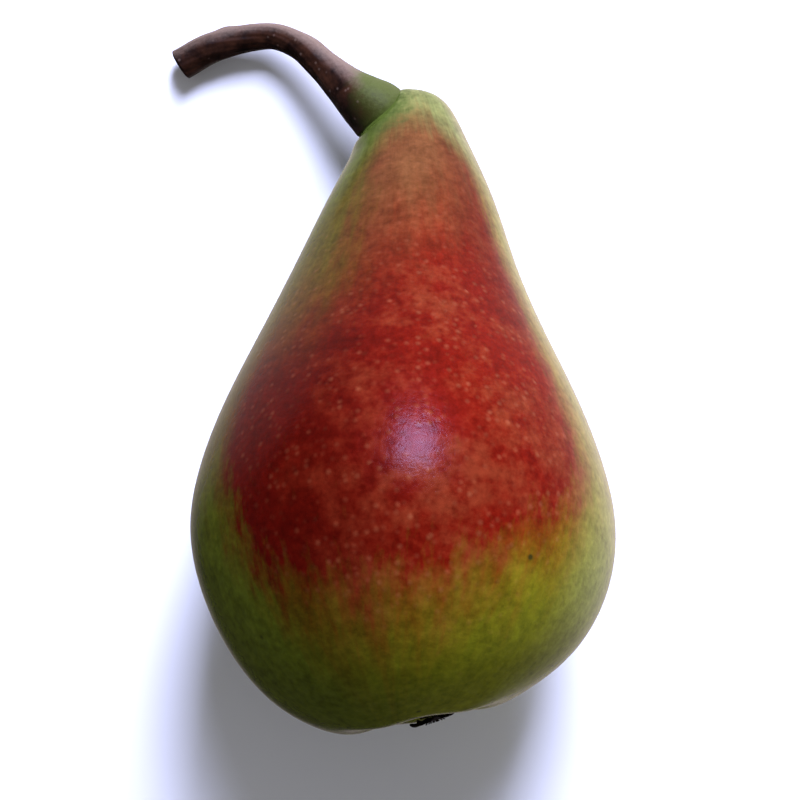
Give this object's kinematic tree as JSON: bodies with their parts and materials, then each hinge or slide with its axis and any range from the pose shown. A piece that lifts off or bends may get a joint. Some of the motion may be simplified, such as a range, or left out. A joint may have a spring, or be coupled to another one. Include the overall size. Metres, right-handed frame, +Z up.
{
  "type": "pear",
  "caption": "Ripe pear lying on its side, with a bent woody stem at the narrow end and a dried calyx at the wide end.",
  "frame": {"origin": "middle of the small flat spot on the belly that the pear rests on", "axes": "+Z up from the surface that it lies on, +Y from the blossom end towards the stem end, +X to the right of someone looking down on it with the stem end at the top"},
  "size_m": [0.0691, 0.1104, 0.0636],
  "materials": {
    "skin": "satin, waxy fruit skin, red blush over yellow-green",
    "stem": "rough brown bark, green at its base",
    "calyx": "dry, dull, dark brown"
  },
  "bodies": {
    "root": {"fruit": "skin", "stem": "stem", "calyx": "calyx"}
  },
  "joints": []
}
